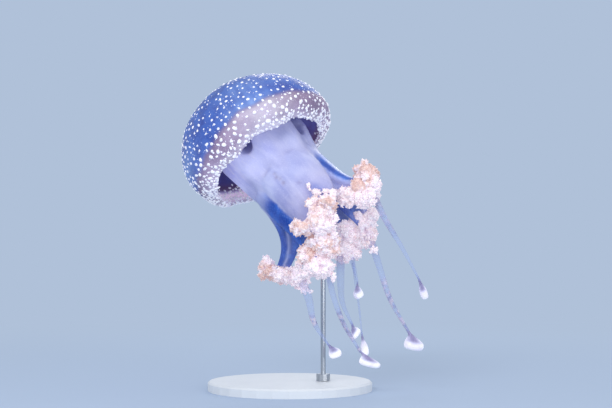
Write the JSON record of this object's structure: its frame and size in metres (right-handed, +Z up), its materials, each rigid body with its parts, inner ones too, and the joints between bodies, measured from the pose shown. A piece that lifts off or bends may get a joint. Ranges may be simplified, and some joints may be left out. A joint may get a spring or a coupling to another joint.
{
  "type": "white-spotted jellyfish",
  "caption": "Swimming jellyfish with a spotted dome bell, a thick arm disc, frilled mouth arms and club-tipped trailing filaments, held on a rod over a round flat base.",
  "frame": {"origin": "centre of the stand base's underside, on the floor", "axes": "+Z up, -Y towards the viewer of the animal's side, +X to the viewer's right, towards which the mouth arms trail"},
  "size_m": [0.2152, 0.1583, 0.2773],
  "materials": {
    "dome_jelly": "wet translucent blue jelly with opaque white spots",
    "band_jelly": "wet milky lavender-pink jelly with opaque white spots",
    "column_jelly": "wet milky lavender-blue jelly, clearer at its edges",
    "frill": "crinkled white to peach frill",
    "filament_jelly": "wet clear pale blue jelly with a few white flecks",
    "club": "milky white, smooth",
    "stand_acrylic": "polished plain pale acrylic",
    "stand_steel": "fine brushed stainless steel"
  },
  "bodies": {
    "root": {"bell_dome": "dome_jelly", "bell_margin": "band_jelly", "arm_disc": "column_jelly", "oral_arm_1": "column_jelly", "oral_arm_2": "column_jelly", "oral_arm_3": "column_jelly", "oral_arm_4": "column_jelly", "oral_arm_5": "column_jelly", "oral_arm_6": "column_jelly", "oral_arm_7": "column_jelly", "oral_arm_8": "column_jelly", "arm_frill_1": "frill", "arm_frill_2": "frill", "arm_frill_3": "frill", "arm_frill_4": "frill", "arm_frill_5": "frill", "arm_frill_6": "frill", "arm_frill_7": "frill", "arm_frill_8": "frill", "filament_1_upper": "filament_jelly", "filament_1_lower": "filament_jelly", "club_1": "club", "filament_4_upper": "filament_jelly", "filament_4_lower": "filament_jelly", "club_4": "club", "filament_5_upper": "filament_jelly", "filament_5_lower": "filament_jelly", "club_5": "club", "filament_6_upper": "filament_jelly", "filament_6_lower": "filament_jelly", "club_6": "club", "filament_7_upper": "filament_jelly", "filament_7_lower": "filament_jelly", "club_7": "club", "filament_7_thin_upper": "filament_jelly", "filament_7_thin_lower": "filament_jelly", "club_7_thin": "club", "filament_8_upper": "filament_jelly", "filament_8_lower": "filament_jelly", "club_8": "club", "stand_base": "stand_acrylic", "stand_rod": "stand_steel"}
  },
  "joints": []
}
